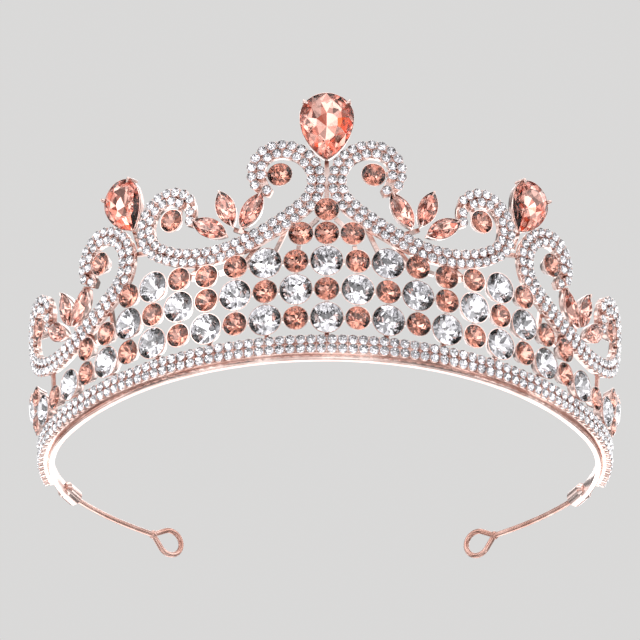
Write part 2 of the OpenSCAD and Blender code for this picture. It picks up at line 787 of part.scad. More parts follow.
eye_cups();  // eye_cups_right
left_side() eye_stones();  // eye_stones_left
eye_stones();  // eye_stones_right
at_wall(centre_pear_place) pear_setting(centre_pear_width, centre_pear_length);  // centre_pear_setting
at_wall(centre_pear_place) pear_stone(centre_pear_width, centre_pear_length);  // centre_pear_stone
left_side() at_wall(side_pear_place, -side_pear_tilt) pear_setting(side_pear_width, side_pear_length);  // side_pear_setting_left
at_wall(side_pear_place, -side_pear_tilt) pear_setting(side_pear_width, side_pear_length);  // side_pear_setting_right
left_side() at_wall(side_pear_place, -side_pear_tilt) pear_stone(side_pear_width, side_pear_length);  // side_pear_stone_left
at_wall(side_pear_place, -side_pear_tilt) pear_stone(side_pear_width, side_pear_length);  // side_pear_stone_right
color(rose_gold) left_side() fan_at(front_eye, 0) navette_setting();  // front_navette_settings_left
color(rose_gold) fan_at(front_eye, 0) navette_setting();  // front_navette_settings_right
color(peach_glass) left_side() fan_at(front_eye, 0) navette_stone();  // front_navette_stones_left
color(peach_glass) fan_at(front_eye, 0) navette_stone();  // front_navette_stones_right
color(rose_gold) left_side() fan_at(side_eye, side_scroll_tilt) navette_setting();  // side_navette_settings_left
color(rose_gold) fan_at(side_eye, side_scroll_tilt) navette_setting();  // side_navette_settings_right
color(peach_glass) left_side() fan_at(side_eye, side_scroll_tilt) navette_stone();  // side_navette_stones_left
color(peach_glass) fan_at(side_eye, side_scroll_tilt) navette_stone();  // side_navette_stones_right
lattice_bars();
foot_bars();
left_side() scroll_bars();  // scroll_bars_left
scroll_bars();  // scroll_bars_right
centre_spine();
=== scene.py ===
"""Bridal tiara: the looks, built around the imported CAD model.

Sizes are in millimetres until a mesh is made.
"""

import math
import random

import bmesh
import bpy
import numpy as np
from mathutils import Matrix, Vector


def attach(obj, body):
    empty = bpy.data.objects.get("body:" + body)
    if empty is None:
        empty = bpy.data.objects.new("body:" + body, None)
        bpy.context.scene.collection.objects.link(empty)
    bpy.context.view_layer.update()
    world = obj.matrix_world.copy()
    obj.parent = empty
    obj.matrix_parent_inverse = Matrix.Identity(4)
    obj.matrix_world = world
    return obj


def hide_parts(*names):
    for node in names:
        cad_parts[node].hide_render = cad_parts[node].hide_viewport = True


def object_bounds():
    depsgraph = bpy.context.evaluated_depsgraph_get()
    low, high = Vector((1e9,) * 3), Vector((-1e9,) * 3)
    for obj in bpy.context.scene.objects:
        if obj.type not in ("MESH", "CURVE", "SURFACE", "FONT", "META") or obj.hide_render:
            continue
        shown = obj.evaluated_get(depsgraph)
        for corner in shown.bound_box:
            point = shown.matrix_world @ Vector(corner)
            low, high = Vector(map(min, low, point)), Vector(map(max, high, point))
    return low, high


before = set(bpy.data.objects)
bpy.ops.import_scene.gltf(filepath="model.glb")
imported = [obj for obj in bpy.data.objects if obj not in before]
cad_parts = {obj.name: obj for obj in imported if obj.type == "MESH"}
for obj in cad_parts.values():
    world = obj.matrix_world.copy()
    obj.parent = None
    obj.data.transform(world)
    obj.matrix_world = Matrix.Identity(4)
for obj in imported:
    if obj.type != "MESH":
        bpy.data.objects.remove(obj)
cad_low, cad_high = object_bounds()
random.seed(29)

# ---- Sizes, the same as in the CAD source ----
LEAN = math.radians(8)
FRONT_RADIUS, FRONT_HALF, SIDE_RADIUS, BAND_HALF = 80, 86, 42, 125
BAND_THICK, BAND_HIGH, TONGUE_HIGH, TONGUE_LONG, SLEEVE_HEIGHT = 1.6, 4.2, 2.2, 3, 2.45
SMALL, SMALL_GAP, ROW_GAP, STRIP_RIM, STRIP_DEEP, STRIP_FLOOR = 2.3, 0.3, 0.1, 0.25, 2.4, 1.3
FOOT_LOW, FOOT_COLUMNS, FOOT_TAIL = 0.15, 39, 6
CLEAR_CUP, PEACH_CUP, CUP_GAP, CUP_BASE = 8.4, 6.4, 0.3, 0.4
SEAT_GAP, SET_GAP = 0.05, 0.1
EYE_U, SCROLL_LIFT, SIDE_SHIFT, SIDE_DROP, SIDE_TILT = 11.9, 10.2, 52.2, 11.9, 5
CENTRE_PEAR, SIDE_PEAR, PEAR_TILT = (14, 19.2), (11.6, 16.4), 18
NAVETTE, SET_DEEP = (5.2, 11), 2.4
CENTRE_PEAR_LIFT, SIDE_PEAR_SHIFT = 3.6, (12.6, 0.8)

# ---- Sizes that only the visual model has ----
# The rim that shows around a stone is thinner than the CAD's bezel, so the stones here are a little wider
RIM = 0.14
STRIP_GEM_EXTRA = 0.08
RIBBON_INSET, RIBBON_EDGE, RIBBON_BEVEL = 0.55, 0.25, 0.12
FOOT_STEPS, SCROLL_STEPS, BAND_STEPS = 240, 200, 300
SHARP_EDGE = math.radians(42)

PITCH = SMALL + SMALL_GAP
ROW = (SMALL + ROW_GAP) / 2
DOUBLE = SMALL + ROW_GAP / 2 + SEAT_GAP + STRIP_RIM
SINGLE = SMALL / 2 + SEAT_GAP + STRIP_RIM
FOOT_LOWER = FOOT_LOW + SINGLE
FOOT_UPPER = FOOT_LOWER + 2 * ROW
FOOT_DOUBLE_END = FOOT_COLUMNS * PITCH
FOOT_END = FOOT_DOUBLE_END + FOOT_TAIL * PITCH

# ---- The leaning wall: u along it, w up it, d out of it ----
FRONT_ANGLE = FRONT_HALF / FRONT_RADIUS
BAND_OUT, BAND_IN = -STRIP_DEEP, -STRIP_DEEP - BAND_THICK
HUB_Y = FRONT_RADIUS + (BAND_OUT + BAND_IN) / 2 / math.cos(LEAN)
SIDE_HUB = ((FRONT_RADIUS - SIDE_RADIUS) * math.sin(FRONT_ANGLE),
            HUB_Y - (FRONT_RADIUS - SIDE_RADIUS) * math.cos(FRONT_ANGLE))


def wall_angle(u, w):
    front, side = FRONT_RADIUS + w * math.sin(LEAN), SIDE_RADIUS + w * math.sin(LEAN)
    bend = FRONT_ANGLE * front
    a = abs(u) / front if abs(u) <= bend else FRONT_ANGLE + (abs(u) - bend) / side
    return math.copysign(a, u)


def wall_spot(a, w, d):
    in_front = abs(a) <= FRONT_ANGLE
    hx, hy = (0, HUB_Y) if in_front else (math.copysign(SIDE_HUB[0], a), SIDE_HUB[1])
    r = (FRONT_RADIUS if in_front else SIDE_RADIUS) + w * math.sin(LEAN) + d * math.cos(LEAN)
    return np.array([hx + r * math.sin(a), hy - r * math.cos(a), w * math.cos(LEAN) - d * math.sin(LEAN)])


def wall_point(u, w, d=0.0):
    return wall_spot(wall_angle(u, w), w, d)


def at_wall(u, w, spin=0.0, d=0.0):
    """Place and axes (along, up, out) of a piece on the wall, turned by spin degrees in its own plane."""
    a = wall_angle(u, w)
    along = np.array([math.cos(a), math.sin(a), 0])
    up = np.array([math.sin(a) * math.sin(LEAN), -math.cos(a) * math.sin(LEAN), math.cos(LEAN)])
    out = np.cross(along, up)
    s, c = math.sin(math.radians(spin)), math.cos(math.radians(spin))
    return wall_spot(a, w, d), np.array([c * along + s * up, c * up - s * along, out])


def up_wall(d, z):
    return (z + d * math.sin(LEAN)) / math.cos(LEAN)


def turned(angle, point):
    s, c = math.sin(math.radians(angle)), math.cos(math.radians(angle))
    return np.array([point[0] * c - point[1] * s, point[0] * s + point[1] * c])


# ---- Where the stones stand ----
COLUMN = (CLEAR_CUP + PEACH_CUP) / 2 + CUP_GAP


def row_height(row):
    return FOOT_LOW + 2 * DOUBLE + SET_GAP + CLEAR_CUP / 2 + row * COLUMN


def nestled(a, da, b, db):
    a, b = np.array(a), np.array(b)
    gap = b - a
    c = np.linalg.norm(gap)
    along = (da * da - db * db + c * c) / (2 * c)
    rise = math.sqrt(da * da - along * along)
    return a + np.array([gap[0] * along - gap[1] * rise, gap[1] * along + gap[0] * rise]) / c


def both_sides(places):
    return [(s * p[0], p[1]) for p in places for s in (-1, 1)]


def rest(k, row, cup, under):
    """Place of a cup that rests on a cup of another diameter in the row below."""
    return k * COLUMN, row_height(row - 1) + (cup + under) / 2 + SET_GAP


def upright(place):
    rise = place[1] - row_height(0)
    return place[0] + rise * wall_angle(place[0], row_height(0)) * math.sin(LEAN), place[1]


last_clear, last_peach = (12 * COLUMN, row_height(0)), (13 * COLUMN, row_height(0))
nest_peach = nestled(last_clear, COLUMN, last_peach, PEACH_CUP + CUP_GAP)
nest_clear = nestled(nest_peach, COLUMN, last_peach, COLUMN)
rear_peach, rear_clear = upright(nest_peach), upright(nest_clear)
rear_top = upright(nest_clear + turned(45, (COLUMN, 0)))
middle_end = rest(9, 1, PEACH_CUP, PEACH_CUP)
upper_places = [rest(4, 2, PEACH_CUP, PEACH_CUP), rest(5, 2, PEACH_CUP, CLEAR_CUP),
                rest(7, 2, PEACH_CUP, CLEAR_CUP)]
CREST = [row_height(2) + COLUMN - CUP_GAP / 2]
CREST.append(CREST[0] + PEACH_CUP + SET_GAP)
LATTICE = {
    ("lower", "clear"): [(k * COLUMN, row_height(0)) for k in range(-12, 13, 2)],
    ("lower", "peach"): [(k * COLUMN, row_height(0)) for k in range(-13, 14, 2)],
    ("middle", "clear"): [(k * COLUMN, row_height(1)) for k in range(-7, 8, 2)] + both_sides([rear_clear]),
    ("middle", "peach"): [(k * COLUMN, row_height(1)) for k in range(-8, 9, 2)]
    + both_sides([middle_end, rear_peach, rear_top]),
    ("upper", "clear"): [(2 * k * COLUMN, row_height(2)) for k in (-1, 0, 1)]
    + both_sides([rest(6, 2, CLEAR_CUP, PEACH_CUP)]),
    ("upper", "peach"): [(k * COLUMN, row_height(2)) for k in (-3, -1, 1, 3)]
    + both_sides(upper_places),
    ("crest", "peach"): [(k * (PEACH_CUP + SET_GAP), CREST[0]) for k in (-1, 0, 1)] + [(0, CREST[1])],
}

# ---- Scrolls: a chain of arcs, each (radius, turn) ----
ARCS = [(7, 57), (5.7, 94), (9.5, 91), (8.7, 53), (51, 22), (25, 56), (8.4, 75), (6.6, 184)]
SCROLL_START, SCROLL_HEADING = np.array([2.1, -4.6]), 24
LOWER_EYE, FAN_ROOT = np.array([29.1, -7.7]), np.array([12.3, -14.2])
UPPER_TAIL, LOWER_TAIL = 4, 9.2
FRONT_EYE = np.array([EYE_U, CREST[1] + SCROLL_LIFT])
SIDE_EYE = FRONT_EYE + [SIDE_SHIFT, -SIDE_DROP]


def scroll_run(offset):
    return sum((r - offset) * math.radians(t) for r, t in ARCS)


def scroll_pose(s, offset=0.0):
    """Point and heading after a length s along the chain, shifted sideways by offset towards the eyes."""
    point, heading = SCROLL_START + turned(SCROLL_HEADING, (0, offset)), SCROLL_HEADING
    for i, (r, t) in enumerate(ARCS):
        r -= offset
        run = r * math.radians(t)
        part = s / r if (s <= run or i == len(ARCS) - 1) else math.radians(t)
        h, k = math.radians(heading), math.radians(heading) + part
        point = point + [r * (math.sin(k) - math.sin(h)), r * (math.cos(h) - math.cos(k))]
        heading = math.degrees(k)
        s -= run
        if s <= 0:
            break
    return point, heading


SCROLL_LENGTH = scroll_run(0)


def placed(eye, tilt, point):
    return eye + turned(tilt, point)


def eyes():
    return [FRONT_EYE, FRONT_EYE + LOWER_EYE, SIDE_EYE, placed(SIDE_EYE, SIDE_TILT, LOWER_EYE)]


# ---- Mesh building ----
class Shape:
    """Gathers faces from many small forms and makes one object of them."""

    def __init__(self):
        self.points, self.faces, self.slots, self.painted_reflections = [], [], [], []

    def add(self, points, faces, place=None, slot=0, tone=1.0):
        base = len(self.points)
        if place is not None:
            spot, axes = place
            points = np.asarray(points, float) @ axes + spot
        self.points += [tuple(p) for p in points]
        for i, face in enumerate(faces):
            self.faces.append([base + v for v in face])
            self.slots.append(slot[i] if isinstance(slot, list) else slot)
            self.painted_reflections.append(tone[i] if isinstance(tone, list) else tone)

    def make(self, name, materials, smooth=True):
        mesh = bpy.data.meshes.new(name)
        mesh.from_pydata([tuple(c / 1000 for c in p) for p in self.points], [], self.faces)
        for m in materials:
            mesh.materials.append(m)
        mesh.polygons.foreach_set("material_index", self.slots)
        bm = bmesh.new()
        bm.from_mesh(mesh)
        bmesh.ops.recalc_face_normals(bm, faces=bm.faces)
        bm.to_mesh(mesh)
        bm.free()
        # Each face's painted reflection: on foil facets, how far the foil's colour is darkened to paint a
        # dark reflection; 1 on faces that aren't foil.
        tone = mesh.attributes.new("tone", "FLOAT", "FACE")
        tone.data.foreach_set("value", self.painted_reflections)
        mesh.polygons.foreach_set("use_smooth", [smooth] * len(mesh.polygons))
        if smooth:
            mesh.set_sharp_from_angle(angle=SHARP_EDGE)
        mesh.update()
        piece = bpy.data.objects.new(name, mesh)
        bpy.context.scene.collection.objects.link(piece)
        return piece


def tube(rings, ends=True, loop=False):
    """Quads between rings of points, with flat ends or joined end to end."""
    n, m = len(rings[0]), len(rings)
    faces = []
    for i in range(m if loop else m - 1):
        for j in range(n):
            a, b, k = n * i, n * ((i + 1) % m), (j + 1) % n
            faces.append([a + j, a + k, b + k, b + j])
    if ends and not loop:
        faces += [list(range(n)), list(range(n * (m - 1), n * m))]
    return [p for ring in rings for p in ring], faces


def revolved(profile, sides):
    """A closed profile of (radius, height) turned about the out axis."""
    rings = []
    for i in range(sides):
        a = 2 * math.pi * i / sides
        rings.append([(r * math.cos(a), r * math.sin(a), h) for r, h in profile])
    return tube(rings, loop=True)


def solid_turned(profile, sides):
    """A solid of revolution: its profile's first and last points are on the axis."""
    points = [(0, 0, profile[0][1])]
    for r, h in profile[1:-1]:
        points += [(r * math.cos(2 * math.pi * i / sides), r * math.sin(2 * math.pi * i / sides), h)
                   for i in range(sides)]
    points.append((0, 0, profile[-1][1]))
    faces, rings = [], len(profile) - 2
    for i in range(sides):
        k = (i + 1) % sides
        faces.append([0, 1 + k, 1 + i])
        for j in range(rings - 1):
            a, b = 1 + j * sides, 1 + (j + 1) * sides
            faces.append([a + i, a + k, b + k, b + i])
        faces.append([1 + (rings - 1) * sides + i, 1 + (rings - 1) * sides + k, len(points) - 1])
    return points, faces


def bead(radius, height, sides=8):
    """A rounded dome for a claw's tip, standing on the wall."""
    arc = [(radius * math.cos(t), height * math.sin(t)) for t in (-0.9, -0.2, 0.45, 1.0)]
    return solid_turned([(0, arc[0][1])] + arc + [(0, height)], sides)


# ---- Cut stones ----
def round_outline(radius):
    def at(t):
        return radius * math.cos(2 * math.pi * t), radius * math.sin(2 * math.pi * t)
    return at, (0, 0)


def pear_outline(width, length):
    radius = width / 2
    flank = ((length - radius) ** 2 + radius ** 2) / width

    def at(t):
        a = 360 * (t % 1)
        b = math.radians(a if a <= 180 else 360 - a)
        if b <= math.pi / 2:
            x, y = radius * math.sin(b), radius * math.cos(b)
        else:
            low = math.asin(math.sin(b - math.pi / 2) * (length - radius) / flank)
            x, y = flank * math.cos(low) - flank + radius, -flank * math.sin(low)
        return (x if a <= 180 else -x), y
    return at, (0, -0.12 * length)


def navette_outline(width, length):
    radius = (length ** 2 + width ** 2) / width / 4
    sweep = math.asin(length / 2 / radius)

    def at(t):
        side, part = (1, 2 * (t % 1)) if t % 1 < 0.5 else (-1, 2 * (t % 1) - 1)
        a = side * sweep * (1 - 2 * part)
        return radius * math.sin(a), side * (radius * math.cos(a) - radius + width / 2)
    return at, (0, 0)


def cut_gem(outline, n, table, crown, girdle, depth, tiers=(), star=0.8, waist=0.42):
    """A brilliant cut on any outline: points, faces, and each face's kind.

    The kinds are 0 glass, 1 outer foil and 2 inner foil.
    Tiers are further rings of the back, each (scale, share of the depth), for large fancy stones.
    """
    at, centre = outline
    cx, cy = centre

    def ring(count, shift, scale, height, wander=0.0):
        out = []
        for k in range(count):
            x, y = at((k + shift) / count)
            reach = scale * (1 + random.uniform(-wander, wander))
            out.append((cx + (x - cx) * reach, cy + (y - cy) * reach,
                        height * (1 + random.uniform(-wander, wander) / 3)))
        return out
    star_high = crown * (1 - star * math.cos(math.pi / n)) / (1 - table)
    points = ring(n, 0, table, crown) + ring(n, 0.5, star, star_high) + ring(2 * n, 0, 1, 0)
    points += ring(2 * n, 0, 1, -girdle)
    t, s, g, h, w = 0, n, 2 * n, 4 * n, 6 * n
    faces, kinds = [list(range(n))], [0]
    for k in range(n):
        j = (k + 1) % n
        g0, g1, g2 = g + 2 * k, g + 2 * k + 1, g + 2 * j
        faces += [[t + k, t + j, s + k], [t + j, s + j, g2, s + k], [s + k, g0, g1], [s + k, g1, g2]]
        kinds += [0] * 4
    if not tiers:
        points += ring(n, 0.5, waist, -depth + (depth - girdle) * waist * math.cos(math.pi / n))
    for i, (scale, share) in enumerate(tiers):
        points += ring(n, 0.5 + i / 2, scale, -girdle - (depth - girdle) * share, 0.07)
    points.append((cx, cy, -depth))
    tip = len(points) - 1
    for k in range(n):
        j = (k + 1) % n
        g0, g1, g2 = g + 2 * k, g + 2 * k + 1, g + 2 * j
        h0, h1, h2 = h + 2 * k, h + 2 * k + 1, h + 2 * j
        faces += [[g0, h0, h1, g1], [g1, h1, h2, g2], [w + k, h0, h1], [w + k, h1, h2]]
        kinds += [1] * 4
        if not tiers:
            faces.append([w + k, h2, w + j, tip])
            kinds.append(2)
            continue
        faces.append([w + k, h2, w + j])
        kinds.append(1)
        for i in range(len(tiers) - 1):
            a, b = w + i * n, w + (i + 1) * n
            faces += [[a + k, a + j, b + k], [a + j, b + j, b + k]]
            kinds += [2, 2]
        last = w + (len(tiers) - 1) * n
        faces.append([last + k, last + j, tip])
        kinds.append(2)
    return points, faces, kinds


def add_gem(shape, gem, place, outer=(0.4, 1), inner=(0.5, 1)):
    """Adds a stone whose foiled facets each get a random painted reflection, dark to bright, within the range
    for their kind.
    """
    points, faces, kinds = gem
    # A painted reflection for each foiled facet, drawn at random between dark and bright; glass faces take 1.
    painted_reflections = []
    for kind in kinds:
        low, high = inner if kind == 2 else outer
        painted_reflections.append(low + (high - low) * (1 - random.random() ** 1.8) if kind else 1.0)
    shape.add(points, faces, place, slot=[1 if k else 0 for k in kinds], tone=painted_reflections)


# ---- Materials ----
def new_material(name):
    material = bpy.data.materials.new(name)
    material.use_nodes = True
    tree = material.node_tree
    tree.nodes.clear()
    out = tree.nodes.new("ShaderNodeOutputMaterial")
    shader = tree.nodes.new("ShaderNodeBsdfPrincipled")
    tree.links.new(shader.outputs["BSDF"], out.inputs["Surface"])
    return material, tree, shader


def noise(tree, scale, detail=2.0, coords=None):
    if coords is None:
        coords = tree.nodes.new("ShaderNodeTexCoord").outputs["Object"]
    node = tree.nodes.new("ShaderNodeTexNoise")
    node.inputs["Scale"].default_value = scale
    node.inputs["Detail"].default_value = detail
    tree.links.new(coords, node.inputs["Vector"])
    return node.outputs["Fac"]


def ramp(tree, source, low, high, start=0.35, end=0.65):
    node = tree.nodes.new("ShaderNodeValToRGB")
    node.color_ramp.elements[0].position, node.color_ramp.elements[1].position = start, end
    node.color_ramp.elements[0].color, node.color_ramp.elements[1].color = (*low, 1), (*high, 1)
    tree.links.new(source, node.inputs["Fac"])
    return node.outputs["Color"]


def ranged(tree, source, low, high, start=0.3, end=0.7):
    node = tree.nodes.new("ShaderNodeMapRange")
    for key, value in (("From Min", start), ("From Max", end), ("To Min", low), ("To Max", high)):
        node.inputs[key].default_value = value
    tree.links.new(source, node.inputs["Value"])
    return node.outputs["Result"]


def bump(tree, shader, source, strength, distance):
    node = tree.nodes.new("ShaderNodeBump")
    node.inputs["Strength"].default_value = strength
    node.inputs["Distance"].default_value = distance
    tree.links.new(source, node.inputs["Height"])
    tree.links.new(node.outputs["Normal"], shader.inputs["Normal"])


def plated_metal(name, low, high, rough, grain):
    """Polished plating: cloudy colour, patches of wear in the gloss, and fine unevenness."""
    material, tree, shader = new_material(name)
    shader.inputs["Metallic"].default_value = 1.0
    tree.links.new(ramp(tree, noise(tree, 160), low, high), shader.inputs["Base Color"])
    tree.links.new(ranged(tree, noise(tree, 700, 4), *rough), shader.inputs["Roughness"])
    bump(tree, shader, noise(tree, 1800, 3), grain, 0.0001)
    return material


def crystal(name, tint):
    material, tree, shader = new_material(name)
    shader.inputs["Transmission Weight"].default_value = 1.0
    shader.inputs["IOR"].default_value = 1.4
    shader.inputs["Specular IOR Level"].default_value = 0.22
    tree.links.new(ranged(tree, noise(tree, 900), 0.0, 0.03), shader.inputs["Roughness"])
    shade = tuple(0.97 * c for c in tint)
    tree.links.new(ramp(tree, noise(tree, 240), shade, tint), shader.inputs["Base Color"])
    return material


def foil(name, dark, light):
    """Mirror foil behind a stone with painted reflections: each facet's painted darkness, standing in for a
    dark reflection, is an attribute of its face.
    """
    material, tree, shader = new_material(name)
    shader.inputs["Metallic"].default_value = 1.0
    tone = tree.nodes.new("ShaderNodeAttribute")
    tone.attribute_name = "tone"
    # Painted reflection: each facet's colour runs from the painted dark reflection to the foil's bright
    # colour.
    tree.links.new(ramp(tree, tone.outputs["Fac"], dark, light, 0.25, 0.8), shader.inputs["Base Color"])
    tree.links.new(ranged(tree, noise(tree, 1500), 0.04, 0.12), shader.inputs["Roughness"])
    return material


ROSE = plated_metal("rose_gold", (0.66, 0.46, 0.41), (0.88, 0.71, 0.66), (0.12, 0.22), 0.10)
WIRE = plated_metal("rose_gold_wire", (0.46, 0.26, 0.21), (0.66, 0.43, 0.37), (0.20, 0.34), 0.16)
CLEAR = crystal("clear_crystal", (0.98, 0.985, 1.0))
PEACH = crystal("peach_crystal", (0.93, 0.62, 0.55))
CORAL = crystal("coral_crystal", (0.97, 0.65, 0.58))
# Each foil's first colour is a painted dark reflection for its darkest facets, the second the foil's own
# bright colour.
CLEAR_FOIL = foil("silver_foil", (0.24, 0.235, 0.25), (0.98, 0.975, 0.99))
PEACH_FOIL = foil("peach_foil", (0.09, 0.018, 0.006), (0.90, 0.69, 0.62))
CORAL_FOIL = foil("coral_foil", (0.55, 0.11, 0.045), (0.98, 0.84, 0.80))


def finished(piece, slot, *nodes):
    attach(piece, "root")
    if nodes:
        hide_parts(*nodes)
    return piece


# ---- Small stones and their strips ----
STRIP_GEM = cut_gem(round_outline(SMALL / 2 + STRIP_GEM_EXTRA), n=6, table=0.56, crown=0.36, girdle=0.08,
                    depth=0.85)
COLLAR = revolved([(0.8, -1.6), (0.98, -1.5), (1.29, -0.4), (1.3, -0.12), (1.26, -0.05), (1.21, -0.08),
                   (1.2, -0.3)], 16)
CLAW_TIP = bead(0.2, 0.26)


def small_stones(name, node, places):
    shape = Shape()
    for u, w in places:
        add_gem(shape, STRIP_GEM, at_wall(u, w, random.uniform(0, 60)), (0.45, 1), (0.6, 1))
    return finished(shape.make(name, [CLEAR, CLEAR_FOIL], smooth=False), "clear_crystal", node)


def strip_metal(name, node, rows, ribbon):
    """A strip's collars, claw tips and the ribbon that backs them."""
    shape = Shape()
    for row in rows:
        for u, w in row:
            shape.add(*COLLAR, at_wall(u, w))
        for (u0, w0), (u1, w1) in zip(row, row[1:]):
            gap = math.hypot(u1 - u0, w1 - w0)
            if gap > 1.5 * PITCH:
                continue
            side = np.array([-(w1 - w0), u1 - u0]) / gap
            for s in (-0.8, 0.8):
                shape.add(*CLAW_TIP, at_wall((u0 + u1) / 2 + s * side[0], (w0 + w1) / 2 + s * side[1]))
    shape.add(*tube(ribbon))
    return finished(shape.make(name, [ROSE]), "rose_gold", node)


def ribbon_ring(point, across, half):
    """A rounded box section of the ribbon behind a strip, at a place on the wall."""
    half -= RIBBON_INSET
    back, top = -STRIP_DEEP, -STRIP_DEEP + STRIP_FLOOR - 0.02
    section = [(-half, back + RIBBON_EDGE), (-half + RIBBON_EDGE, back), (half - RIBBON_EDGE, back),
               (half, back + RIBBON_EDGE), (half, top - RIBBON_BEVEL), (half - RIBBON_BEVEL, top),
               (RIBBON_BEVEL - half, top), (-half, top - RIBBON_BEVEL)]
    return [wall_point(point[0] + c * across[0], point[1] + c * across[1], d) for c, d in section]


def foot_half(u):
    narrowing = (abs(u) - FOOT_DOUBLE_END) / (2 * PITCH)
    return DOUBLE + (SINGLE - DOUBLE) * min(max(narrowing, 0), 1)


def foot_strip():
    upper = [((i + 0.5) * PITCH, FOOT_UPPER) for i in range(-FOOT_COLUMNS, FOOT_COLUMNS)]
    reach = FOOT_COLUMNS + FOOT_TAIL
    lower = [((i + 0.5) * PITCH, FOOT_LOWER) for i in range(-reach, reach)]
    rings = []
    for i in range(FOOT_STEPS + 1):
        u = (FOOT_END - 0.5) * (2 * i / FOOT_STEPS - 1)
        half = foot_half(u)
        rings.append(ribbon_ring((u, FOOT_LOW + half), (0, 1), half))
    strip_metal("foot_strip_metal", "foot_strip", [upper, lower], rings)
    small_stones("foot_upper_gems", "foot_stones_upper", upper)
    small_stones("foot_lower_gems", "foot_stones_lower", lower)


def strip_half(s):
    grow = min(s / UPPER_TAIL, (SCROLL_LENGTH - s) / LOWER_TAIL, 1)
    return SINGLE + (DOUBLE - SINGLE) * max(0, grow)


def scroll(kind, side, eye, tilt):
    def on_wall(point):
        flat = placed(eye, tilt, point)
        return side * flat[0], flat[1]
    rows = {}
    for key, offset, share in (("inner", ROW, 0.78), ("outer", -ROW, 0.9)):
        first = UPPER_TAIL + PITCH / 2
        last = scroll_run(offset) - LOWER_TAIL * share
        count = math.floor((last - first) / PITCH)
        rows[key] = [on_wall(scroll_pose(first + (last - first) * i / count, offset)[0])
                     for i in range(count + 1)]
    ends = [SINGLE, SCROLL_LENGTH - SINGLE, SCROLL_LENGTH - SINGLE - PITCH]
    tails = [on_wall(scroll_pose(s)[0]) for s in ends]
    rings = []
    for i in range(SCROLL_STEPS + 1):
        s = 0.3 + (SCROLL_LENGTH - 0.6) * i / SCROLL_STEPS
        point, heading = scroll_pose(s)
        across = turned(heading + tilt, (0, 1))
        rings.append(ribbon_ring(on_wall(point), (side * across[0], across[1]), strip_half(s)))
    hand = "left" if side < 0 else "right"
    name = f"{kind}_scroll"
    strip_metal(f"{name}_metal_{hand}", f"{name}_{hand}",
                [[tails[0]] + rows["outer"] + [tails[2], tails[1]], rows["inner"]], rings)
    small_stones(f"{name}_outer_gems_{hand}", f"{name}_outer_stones_{hand}", rows["outer"] + tails)
    small_stones(f"{name}_inner_gems_{hand}", f"{name}_inner_stones_{hand}", rows["inner"])


# ---- Round stones in cups ----
def cup_stone(cup):
    stone = cup - 2 * RIM
    depth = 0.34 * stone
    gem = cut_gem(round_outline(stone / 2 - 0.02), n=8, table=0.52, crown=0.13 * stone,
                  girdle=0.03 * stone, depth=depth)
    foot = -depth - SEAT_GAP - CUP_BASE
    r, seat = cup / 2, stone / 2
    metal = solid_turned([(0, foot), (0.3 * cup - 0.12, foot), (0.3 * cup, foot + 0.08),
                          (r - 0.5, foot / 3), (r - 0.08, -0.28), (r, -0.08), (r - 0.01, 0.05),
                          (r - 0.05, 0.1), (seat - 0.02, 0.1),
                          (seat - 0.04, 0.03), (seat, -0.04 * cup), (0.2 * seat, -depth - SEAT_GAP),
                          (0, -depth - SEAT_GAP)], 40)
    return gem, metal


GEMS = {"clear": cup_stone(CLEAR_CUP), "peach": cup_stone(PEACH_CUP)}
GLASS = {"clear": ([CLEAR, CLEAR_FOIL], "clear_crystal"), "peach": ([PEACH, PEACH_FOIL], "peach_crystal")}


def set_stones(name, node, kind, places):
    shape = Shape()
    for u, w in places:
        add_gem(shape, GEMS[kind][0], at_wall(u, w, random.uniform(0, 45)))
    materials, slot = GLASS[kind]
    return finished(shape.make(name, materials, smooth=False), slot, node)


def cups(name, node, groups):
    shape = Shape()
    for kind, places in groups:
        for u, w in places:
            shape.add(*GEMS[kind][1], at_wall(u, w))
    return finished(shape.make(name, [ROSE]), "rose_gold", node)


# ---- Pears and navettes ----
def outline_rings(outline, count, sections):
    """A ring at each of count points along an outline; a section is (offset inwards, height)."""
    at, centre = outline
    rings = []
    for k in range(count):
        t = k / count
        p, a, b = np.array(at(t)), np.array(at(t - 1e-4)), np.array(at(t + 1e-4))
        along = (b - a) / np.linalg.norm(b - a)
        inward = np.array([-along[1], along[0]])
        if np.dot(inward, np.array(centre) - p) < 0:
            inward = -inward
        rings.append([(p[0] + o * inward[0], p[1] + o * inward[1], h) for o, h in sections])
    return rings


def box_setting(outline, count):
    """A closed box setting: its wall, thin lip and back."""
    sections = [(0.6, -SET_DEEP), (0.45, -SET_DEEP + 0.14), (0.06, -0.6), (0, -0.1), (0.03, 0.02),
                (0.1, 0.04),
                (RIM, -0.02), (RIM + 0.04, -0.35), (0.9, -SET_DEEP + CUP_BASE)]
    rings = outline_rings(outline, count, sections)
    points, faces = tube(rings, loop=True)
    n = len(sections)
    faces = [f for f in faces if not (f[0] % n == n - 1 and f[1] % n == 0)]
    faces.append([n * k for k in range(count)])
    faces.append([n * k + n - 1 for k in range(count)])
    return points, faces


def claw(shape, place, foot, tip, thick):
    """A claw from its foot, outside the wall, to its tip on the stone: a bent tapered finger."""
    foot, tip = np.array(foot, float), np.array(tip, float)
    knee = np.array([foot[0], foot[1], tip[2] + 0.15])
    spine = [foot, foot + (knee - foot) * 0.6, knee, (knee + tip) / 2 + [0, 0, 0.14], tip]
    radii = [thick, thick, thick * 0.95, thick * 0.85, thick * 0.6]
    away = np.array([foot[0] - tip[0], foot[1] - tip[1], 0])
    away /= np.linalg.norm(away)
    square = np.array([-away[1], away[0], 0])
    rings = []
    for i, (p, r) in enumerate(zip(spine, radii)):
        lean = min(i, 3) / 3 * math.pi / 2 * 0.9
        normal = away * math.cos(lean) + np.array([0, 0, 1]) * math.sin(lean)
        rings.append([p + r * (math.cos(t) * normal + math.sin(t) * square)
                      for t in np.linspace(0, 2 * math.pi, 11)[:-1]])
    shape.add(*tube(rings), place)


